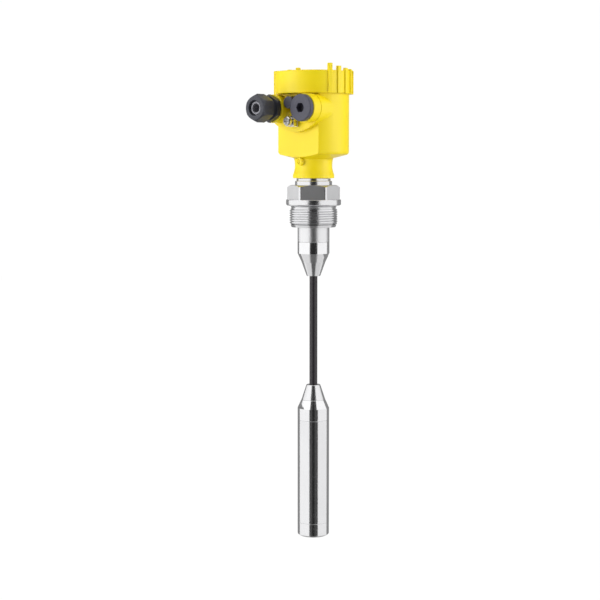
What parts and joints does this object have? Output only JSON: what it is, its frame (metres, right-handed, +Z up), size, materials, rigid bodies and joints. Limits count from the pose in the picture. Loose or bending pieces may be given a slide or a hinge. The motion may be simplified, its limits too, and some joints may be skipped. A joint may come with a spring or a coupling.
{
  "type": "submersible pressure transmitter",
  "caption": "Submersible level transmitter: a yellow screw-lid housing on a hex threaded fitting, with a steel pressure sensor hanging below it on a suspension cable.",
  "frame": {"origin": "on the fitting's axis, at the underside of its collar, which is the sealing face", "axes": "+Z up along the axis towards the lid, -Y the way the cable entries point, +X towards the blind plug"},
  "size_m": [0.0794, 0.1045, 0.475],
  "materials": {
    "yellow_plastic": "satin moulded",
    "dark_polyamide": "satin moulded",
    "stainless_steel": "turned",
    "plated_steel": "bright",
    "seal_rubber": "matt",
    "ring_plastic": "matt",
    "cable_sheath": "satin",
    "cell_ceramic": "ground",
    "insert_plastic": "matt",
    "lever_plastic": "satin",
    "board_laminate": "satin",
    "contact_plastic": "satin"
  },
  "bodies": {
    "process_fitting": {"threaded_fitting": "stainless_steel", "neck_seal": "seal_rubber", "retaining_ring": "plated_steel", "upper_cable_head": "stainless_steel", "upper_clamp_screw": "stainless_steel", "upper_thrust_ring": "ring_plastic", "upper_cable_seal": "seal_rubber", "suspension_cable": "cable_sheath", "lower_clamp_screw": "stainless_steel", "lower_thrust_ring": "ring_plastic", "lower_cable_seal": "seal_rubber", "sensor_head": "stainless_steel", "sensor_tube": "stainless_steel", "sensor_board": "board_laminate", "sensor_front_ring": "stainless_steel", "measuring_cell": "cell_ceramic", "cell_seal": "seal_rubber", "cell_clamp_ring": "stainless_steel"},
    "housing": {"housing_body": "yellow_plastic", "locking_screw": "plated_steel", "electronics_cup": "insert_plastic", "circuit_board": "board_laminate", "electronics_cover": "insert_plastic", "case_screw_1": "plated_steel", "case_screw_2": "plated_steel", "terminal_block": "insert_plastic", "contact_strip": "contact_plastic", "gland_gasket": "seal_rubber", "gland_body": "dark_polyamide", "filter_cap": "dark_polyamide", "filter_membrane": "ring_plastic", "ground_terminal_base": "plated_steel"},
    "lid_lift_carrier": {"lid_seal": "seal_rubber"},
    "lid": {"housing_lid": "yellow_plastic"},
    "gland_seal_carrier": {"gland_seal": "seal_rubber"},
    "gland_nut": {"gland_nut": "dark_polyamide"},
    "plug_seal_carrier": {"plug_seal": "seal_rubber"},
    "plug": {"blind_plug": "dark_polyamide"},
    "ground_clamp": {"ground_clamp": "plated_steel"},
    "ground_screw": {"ground_screw": "plated_steel"},
    "lever_1": {"terminal_lever_1": "lever_plastic"},
    "lever_2": {"terminal_lever_2": "lever_plastic"}
  },
  "joints": [
    {"name": "housing_swivel", "type": "hinge", "parent": "process_fitting", "child": "housing", "pos_m": [0, 0, 0.04], "axis": [0, 0, 1], "range_deg": [-165, 165]},
    {"name": "lid_lift", "type": "slide", "parent": "housing", "child": "lid_lift_carrier", "axis": [0, 0, 1], "range_m": [0, 0.02502]},
    {"name": "lid_turn", "type": "hinge", "parent": "lid_lift_carrier", "child": "lid", "pos_m": [0, 0, 0.12], "axis": [0, 0, 1], "range_deg": [0, 1800]},
    {"name": "gland_nut_travel", "type": "slide", "parent": "housing", "child": "gland_seal_carrier", "axis": [0, -1, 0], "range_m": [0, 0.00751]},
    {"name": "gland_nut_turn", "type": "hinge", "parent": "gland_seal_carrier", "child": "gland_nut", "pos_m": [-0.02, -0.058, 0.0953], "axis": [0, -1, 0], "range_deg": [0, 1800]},
    {"name": "plug_travel", "type": "slide", "parent": "housing", "child": "plug_seal_carrier", "axis": [0, -1, 0], "range_m": [0, 0.01201]},
    {"name": "plug_turn", "type": "hinge", "parent": "plug_seal_carrier", "child": "plug", "pos_m": [0.02, -0.04, 0.0953], "axis": [0, -1, 0], "range_deg": [0, 2880]},
    {"name": "ground_clamp_travel", "type": "slide", "parent": "housing", "child": "ground_clamp", "axis": [0, -1, 0], "range_m": [0, 0.0028]},
    {"name": "ground_screw_turn", "type": "hinge", "parent": "ground_clamp", "child": "ground_screw", "pos_m": [0, -0.037, 0.0828], "axis": [0, -1, 0], "range_deg": [0, 1444]},
    {"name": "terminal_lever_1_open", "type": "hinge", "parent": "housing", "child": "lever_1", "pos_m": [0.007, 0.0166, 0.0924], "axis": [-1, 0, 0], "range_deg": [0, 80]},
    {"name": "terminal_lever_2_open", "type": "hinge", "parent": "housing", "child": "lever_2", "pos_m": [-0.007, 0.0166, 0.0924], "axis": [-1, 0, 0], "range_deg": [0, 80]}
  ],
  "couplings": [
    {"joint": "lid_lift", "follows": "lid_turn", "m_per_rad": 0.00079577},
    {"joint": "gland_nut_travel", "follows": "gland_nut_turn", "m_per_rad": 0.00023873},
    {"joint": "plug_travel", "follows": "plug_turn", "m_per_rad": 0.00023873},
    {"joint": "ground_screw_turn", "follows": "ground_clamp_travel", "rad_per_m": 8976}
  ]
}
